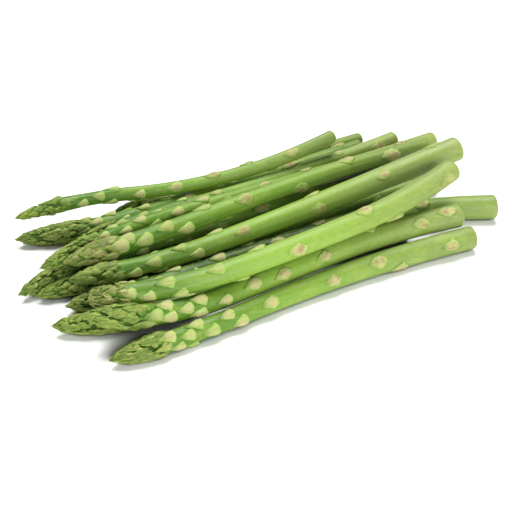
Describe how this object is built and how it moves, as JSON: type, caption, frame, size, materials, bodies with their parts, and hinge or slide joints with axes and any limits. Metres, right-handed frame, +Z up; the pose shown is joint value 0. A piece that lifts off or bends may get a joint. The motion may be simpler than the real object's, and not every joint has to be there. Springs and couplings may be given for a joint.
{
  "type": "bundle of asparagus",
  "caption": "Loose bundle of fresh green asparagus spears lying on a flat surface, with pointed bract-covered heads at one end and cut butts at the other.",
  "frame": {"origin": "centre of the bundle's bounding box, on the surface that it lies on", "axes": "+X along the spears from the tips to the cut butts, +Y across the bundle towards its back, +Z up"},
  "size_m": [0.2782, 0.1464, 0.0377],
  "materials": {
    "spear_skin": "smooth, slightly waxy plant skin, yellow-green on the stems, darker olive green on the heads, with pale and pinkish bracts"
  },
  "bodies": {
    "root": {"spear_a": "spear_skin", "spear_b": "spear_skin", "spear_c": "spear_skin", "spear_d": "spear_skin", "spear_e": "spear_skin", "spear_f": "spear_skin", "spear_g": "spear_skin", "spear_h": "spear_skin", "spear_i": "spear_skin", "spear_j": "spear_skin", "spear_k": "spear_skin", "spear_l": "spear_skin", "spear_m": "spear_skin", "spear_n": "spear_skin"}
  },
  "joints": []
}
